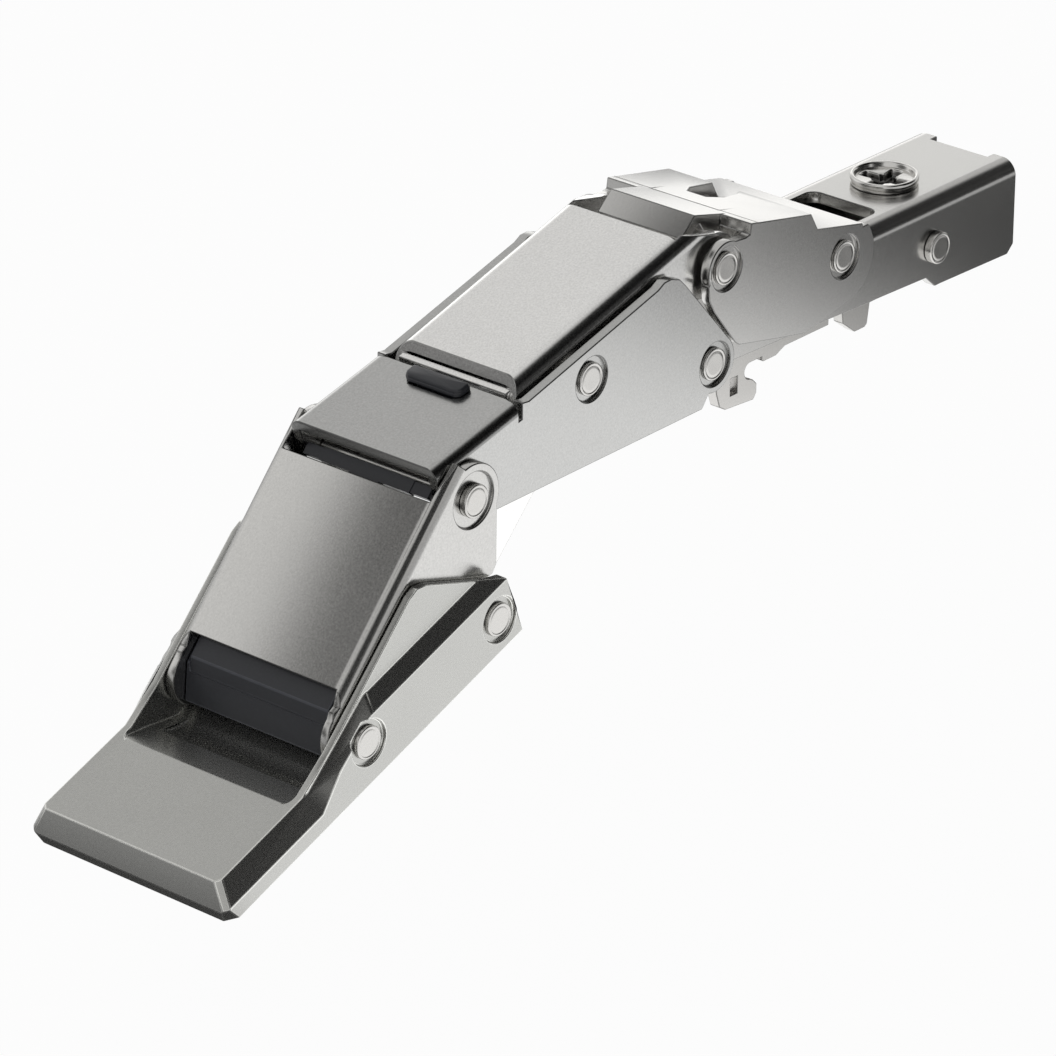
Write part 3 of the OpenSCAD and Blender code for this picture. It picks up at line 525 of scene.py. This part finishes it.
# The closing spring: two coils of five turns on the pin, their rear legs and one loop ahead.
px, pz, wire, coil_r = -10.8, 11.2, 0.325, 1.6
rear_a, loop_a, loop_l = 180 + 16.53, 25.59, 15.6
coil_outer, coil_inner, leg_l, wound = 4.65, 1.35, 7.2, 5 * 360
tubes = []
for side in (-1, 1):
    outer_y, inner_y = side * coil_outer, side * coil_inner
    leg = radial(px, pz, outer_y, rear_a, coil_r + leg_l, coil_r, 30)
    turns = helix(px, pz, coil_r, outer_y, inner_y, rear_a, loop_a + wound, 260)
    arm_leg = radial(px, pz, inner_y, loop_a, coil_r, loop_l - 0.2, 40)
    line = softened(np.concatenate([leg, turns[1:], arm_leg[1:]]))
    tubes.append(wire_rings(doubled_ends(line), wire, (0, 1, 0)))
loop_x, loop_z = np.cos(np.radians(loop_a)), np.sin(np.radians(loop_a))
ex, ez, bar_y = px + loop_l * loop_x, pz + loop_l * loop_z, 1.6
bar = np.stack([np.full(30, ex), np.linspace(-bar_y, bar_y, 30), np.full(30, ez)], 1)
tubes.append(wire_rings(doubled_ends(bar), wire - 0.01, (-loop_z, 0, loop_x)))
joined("closing_spring_wound", tubes, spring_steel, "arm_body", "spring_steel",
       "closing_spring")
# The latch's spring: four turns round the latch's pin and one straight leg.
cx, cz, clip_r, clip_y, clip_leg, clip_wire = -40.2, 4.4, 1.15, 1.16, 6.0, 0.29
turns = helix(cx, cz, clip_r, -clip_y, clip_y, 0, 4 * 360, 200)
leg = radial(cx, cz, clip_y, 0, clip_r, clip_leg, 30)
line = softened(np.concatenate([turns, leg[1:]]))
joined("clip_spring_wound", [wire_rings(doubled_ends(line), clip_wire, (0, 1, 0))],
       spring_steel, "frame", "spring_steel", "clip_spring")

# ---- inner lever
# The long lever between link and boss, a folded channel that ends in a short tongue.
# It runs inside the outer lever on washers.
# Its plating is painted far lighter than the other nickel parts (0.92 against about 0.6), a
# painted highlight for the light its web catches.
lighter_inner_nickel = finish("nickel_inner_strip_painted_lighter", (0.92, 0.915, 0.9), 0.22, grain=0.4)
eased("inner_lever", "inner", lighter_inner_nickel, 0.12)

# ---- outer lever
# The lever between arm and front lever, folded from wider strip, with a short web at its
# front and slits where the bends begin.
# Its plating is painted darker than the other nickel parts (0.53 against about 0.6), painted
# shade for its dimmer web.
darker_outer_nickel = finish("nickel_outer_strip_painted_darker", (0.53, 0.53, 0.52), 0.22, grain=0.4)
eased("outer_lever", "outer", darker_outer_nickel, 0.12)

# ---- bushes, washers and sleeves
# Thin rings of hardened steel that keep the sheets apart on their pins.
# They are punched from strip and tumbled smooth.
ring_steel = finish("tumbled_ring_steel", (0.58, 0.57, 0.55), 0.3, grain=0.1)
for node in ("upper_bushes", "lower_bushes", "lever_washers", "boss_sleeves"):
    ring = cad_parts[node]
    ring.data.materials.clear()
    ring.data.materials.append(ring_steel)

# ---- soft close switch
# A small slide of dark grey acetal over the outer lever's web, with rounded front corners.
# It snaps through a slot and turns the damper on or off.
# Its rounded edges, as on the damper housing, are painted 2.2 times lighter: a painted highlight
# along them.
charcoal = finish("charcoal_moulding", (0.034, 0.036, 0.043), 0.34, metallic=0.0, grain=0.3,
                  cloud=0.12, bump=0.05, grain_scale=3200.0, edge_shade_and_highlight=1.2)
switch_x, switch_z, switch_tilt = 43.6, 12.0, np.radians(13.3)


def plate_rings(x0, x1, half, levels, round_front, round_rear, steps=10):
    """Rings of a plate whose plan is a rectangle with rounded corners.

    Each level (z, inset) repeats the plan, moved in by inset, and the first and last ring
    close to the middle. The result is turned by the slide's tilt about its own origin.
    """
    a = np.linspace(0, np.pi / 2, steps)
    rings = []
    for z, inset in levels:
        corners = []
        for cx, cy, r, start in ((x1, half, round_front, 0), (x0, half, round_rear, 1),
                                 (x0, -half, round_rear, 2), (x1, -half, round_front, 3)):
            sx, sy = (1 if start in (0, 3) else -1), (1 if start < 2 else -1)
            q = a + start * np.pi / 2
            corners.append(np.stack([cx - sx * r + (r - inset) * np.cos(q),
                                     cy - sy * r + (r - inset) * np.sin(q),
                                     z + 0 * q], 1))
        rings.append(np.concatenate(corners))
    rings = np.array(rings)
    ends = np.array([np.broadcast_to(rings[k].mean(0), rings[k].shape) for k in (0, -1)])
    rings = np.concatenate([ends[:1], rings, ends[1:]])
    c, s = np.cos(switch_tilt), np.sin(switch_tilt)
    u, y, w = rings[..., 0], rings[..., 1], rings[..., 2]
    return np.stack([switch_x + c * u + s * w, y, switch_z - s * u + c * w], -1)


cap_levels = ((0.05, 0.12), (0.12, 0.02), (0.45, 0.0), (0.5, 0.03), (0.53, 0.09), (0.72, 0.11),
              (0.84, 0.17), (0.9, 0.3))
low_levels = ((-2.15, 0.1), (-2.05, 0.0), (-1.35, 0.0), (-1.25, 0.1))
stem_levels = ((-1.3, 0.06), (0.1, 0.06))
joined("switch_moulded", [plate_rings(0.35, 2.45, 3.9, cap_levels, 0.95, 0.35),
                          plate_rings(0.2, 2.8, 4.3, low_levels, 0.4, 0.4),
                          plate_rings(0.6, 1.8, 2.8, stem_levels, 0.2, 0.2)],
       charcoal, "switch", "dark_plastic", "switch_slider").data.set_sharp_from_angle(
           angle=np.radians(50))

# ---- front lever
# The folded lever between the knuckle and the boss, with its bare web over the damper.
# Its side walls reach past the web and hold the damper's ends.
front_nickel = finish("nickel_front_strip", (0.6, 0.595, 0.58), 0.24, grain=0.4, bow=7.0)
eased("front_lever", "front", front_nickel, 0.12)

# ---- damper
# The soft close unit: a charcoal housing of moulded nylon across the front lever, with an
# oil cylinder and its plunger behind it.
eased("damper_housing", "front", charcoal, 0.15, turns=3, sharp=20)
for node in ("damper_cylinder", "damper_slide"):
    inner_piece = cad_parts[node]
    inner_piece.data.materials.clear()
    inner_piece.data.materials.append(charcoal)
# Two thin guide wings run on from the ends of the plunger's bar, between the lever's walls.
bar = np.empty(len(inner_piece.data.vertices) * 3)
inner_piece.data.vertices.foreach_get("co", bar)
bar = bar.reshape(-1, 3) / mm
bar_half, wing_half = 6.2, 8.6
section = np.unique(np.round(bar[bar[:, 1] > bar_half - 0.05][:, (0, 2)], 3), axis=0)
middle_xz = section.mean(0)
turn_order = np.argsort(np.arctan2(*(section - middle_xz).T[::-1]))
section = middle_xz + 0.85 * (section[turn_order] - middle_xz)
wings = []
for side in (-1, 1):
    levels = side * np.array([bar_half - 0.1, bar_half - 0.1, wing_half, wing_half])
    size = np.array([0.0, 1.0, 1.0, 0.0])[:, None, None]
    xz = middle_xz + size * (section - middle_xz)
    wings.append(np.stack([xz[..., 0], levels[:, None] + 0 * xz[..., 0], xz[..., 1]], -1))
joined("damper_wings", wings, charcoal, "damper", "dark_plastic").data.set_sharp_from_angle(
    angle=np.radians(40))

# ---- door boss
# A zinc die casting with a satin nickel plate, glued to the glass with its flat back.
# The trough between its ears takes the folded levers when the door is shut.
# Its rounded edges are painted 1.6 times lighter: a painted highlight along them.
die_cast = finish("satin_die_cast", (0.54, 0.54, 0.52), 0.27, metallic=0.92, grain=0.3,
                  cloud=0.12, edge_shade_and_highlight=0.6)
eased("door_boss", "boss", die_cast, 0.14, sharp=28)
